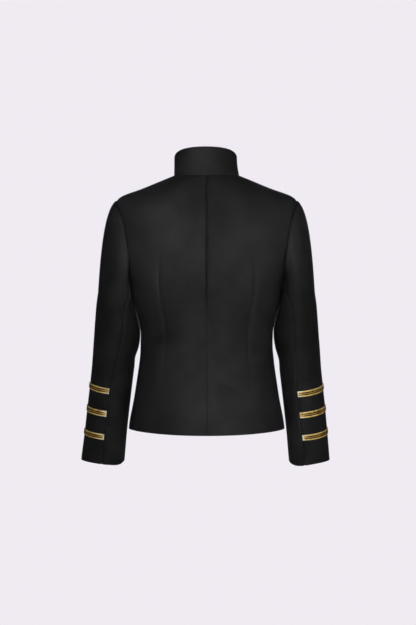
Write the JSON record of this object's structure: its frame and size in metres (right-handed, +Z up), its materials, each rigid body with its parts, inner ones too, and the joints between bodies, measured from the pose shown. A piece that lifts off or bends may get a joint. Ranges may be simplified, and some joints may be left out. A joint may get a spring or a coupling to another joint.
{
  "type": "parade jacket",
  "caption": "Black fitted wool jacket, closed and filled out as worn, with a tall stand collar, long sleeves with gold braid above the cuffs, and gold front buttons.",
  "frame": {"origin": "middle of the neck's base, midway between the two points where a shoulder seam meets the collar", "axes": "+Z up as worn, the wearer faces -Y, +X is the wearer's left"},
  "size_m": [0.5777, 0.2426, 0.718],
  "materials": {
    "back_left": "matte",
    "back_right": "matte",
    "braid_left_1": "satin",
    "braid_left_2": "satin",
    "braid_left_3": "satin",
    "braid_right_1": "satin",
    "braid_right_2": "satin",
    "braid_right_3": "satin",
    "button_1": "polished",
    "button_2": "polished",
    "button_3": "polished",
    "button_4": "polished",
    "button_5": "polished",
    "button_6": "polished",
    "button_7": "polished",
    "collar": "matte",
    "front_left": "matte",
    "front_right": "matte",
    "sleeve_top_left": "matte",
    "sleeve_top_right": "matte",
    "sleeve_under_left": "matte",
    "sleeve_under_right": "matte"
  },
  "bodies": {
    "root": {"back_left": "back_left", "back_right": "back_right", "braid_left_1": "braid_left_1", "braid_left_2": "braid_left_2", "braid_left_3": "braid_left_3", "braid_right_1": "braid_right_1", "braid_right_2": "braid_right_2", "braid_right_3": "braid_right_3", "button_1": "button_1", "button_2": "button_2", "button_3": "button_3", "button_4": "button_4", "button_5": "button_5", "button_6": "button_6", "button_7": "button_7", "collar": "collar", "front_left": "front_left", "front_right": "front_right", "sleeve_top_left": "sleeve_top_left", "sleeve_top_right": "sleeve_top_right", "sleeve_under_left": "sleeve_under_left", "sleeve_under_right": "sleeve_under_right"}
  },
  "joints": []
}
